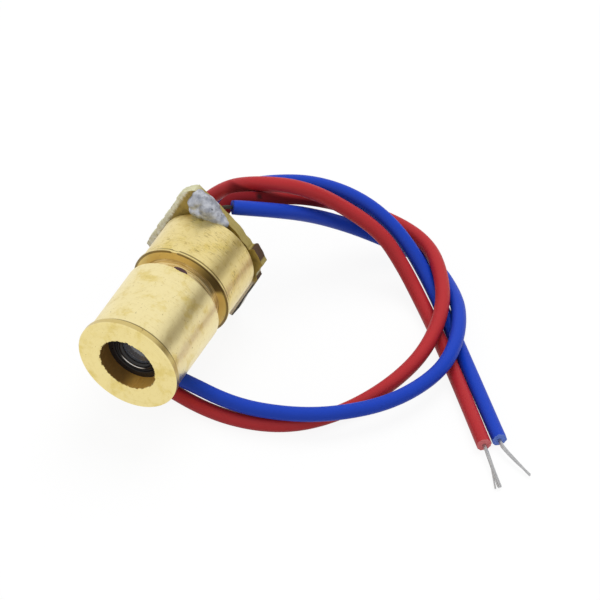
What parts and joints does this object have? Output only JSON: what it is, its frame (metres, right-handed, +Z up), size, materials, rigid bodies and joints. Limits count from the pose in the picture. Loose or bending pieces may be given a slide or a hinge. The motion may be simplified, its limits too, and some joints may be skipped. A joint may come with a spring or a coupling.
{
  "type": "laser diode module",
  "caption": "Small brass laser diode module: flanged lens barrel screwed to a diode holder, with a soldered driver board and looped red and blue wires.",
  "frame": {"origin": "on the surface the module lies on, below the middle of the module without its wires", "axes": "+Z up; the optical axis is parallel to Y and the beam leaves towards -Y; +X to the right seen from the nose"},
  "size_m": [0.0282, 0.0209, 0.0095],
  "materials": {
    "brass": "turned, slightly tarnished",
    "black_plastic": "satin",
    "lens_glass": "polished",
    "window_glass": "polished",
    "spring_steel": "drawn",
    "plated_steel": "gold plated",
    "semiconductor": "cleaved",
    "adhesive": "cured drop",
    "board": "solder mask, snapped edges",
    "resistor_body": "matte",
    "solder": "dull, pitted",
    "tinned_copper": "tinned strands",
    "red_insulation": "semi-gloss",
    "blue_insulation": "semi-gloss"
  },
  "bodies": {
    "root": {"lens_barrel": "brass", "diode_holder": "brass", "lens_cell": "black_plastic", "collimating_lens": "lens_glass", "lens_spring": "spring_steel", "thread_lock": "adhesive", "diode_stem": "plated_steel", "diode_can": "plated_steel", "diode_window": "window_glass", "laser_chip": "semiconductor", "diode_leads": "plated_steel", "driver_board": "board", "chip_resistor": "resistor_body", "resistor_joints": "solder", "lead_joints": "solder", "case_joint": "solder", "red_joint": "solder", "blue_joint": "solder", "red_conductor": "tinned_copper", "blue_conductor": "tinned_copper", "red_wire": "red_insulation", "blue_wire": "blue_insulation", "red_tip": "tinned_copper", "blue_tip": "tinned_copper"}
  },
  "joints": []
}
